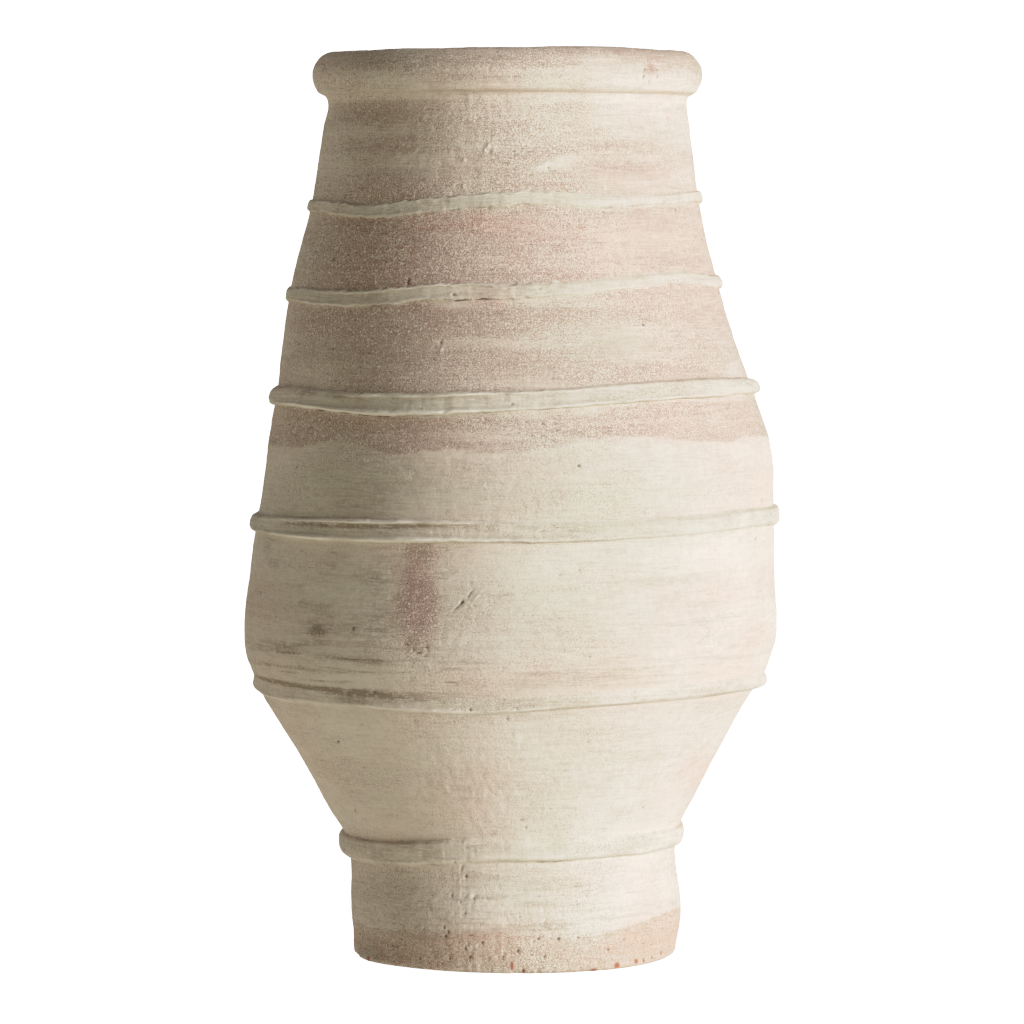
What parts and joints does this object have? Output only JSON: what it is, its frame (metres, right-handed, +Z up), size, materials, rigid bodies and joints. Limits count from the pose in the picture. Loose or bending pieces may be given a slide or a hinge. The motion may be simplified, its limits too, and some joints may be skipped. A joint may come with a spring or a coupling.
{
  "type": "earthenware jar",
  "caption": "Tall hand-thrown earthenware floor jar: narrow foot, wide belly, tapering shoulder and thick rolled rim, with wavy clay bands laid over the joints between its courses of wall.",
  "frame": {"origin": "middle of the flat underside, which stands on the floor", "axes": "+Z up along the jar, -Y towards the front seen in the picture, +X to the right of that view"},
  "size_m": [0.3824, 0.3802, 0.64],
  "materials": {
    "slipped_clay": "unglazed, cream slip brushed over pink clay, matt",
    "blushed_clay": "unglazed, pinkish grey clay speckled with pale grit, matt",
    "band_clay": "unglazed, hand-smoothed cream clay with a greenish cast, matt",
    "bare_clay": "unglazed, bare pinkish terracotta, matt"
  },
  "bodies": {
    "root": {"floor_disc": "bare_clay", "foot_wall": "slipped_clay", "lower_body_wall": "slipped_clay", "belly_wall": "slipped_clay", "shoulder_wall": "slipped_clay", "upper_shoulder_wall": "blushed_clay", "neck_wall": "blushed_clay", "collar_wall": "blushed_clay", "rim_roll": "blushed_clay", "foot_band": "band_clay", "keel_band": "band_clay", "belly_band": "band_clay", "shoulder_band": "band_clay", "neck_band": "band_clay", "collar_band": "band_clay"}
  },
  "joints": []
}
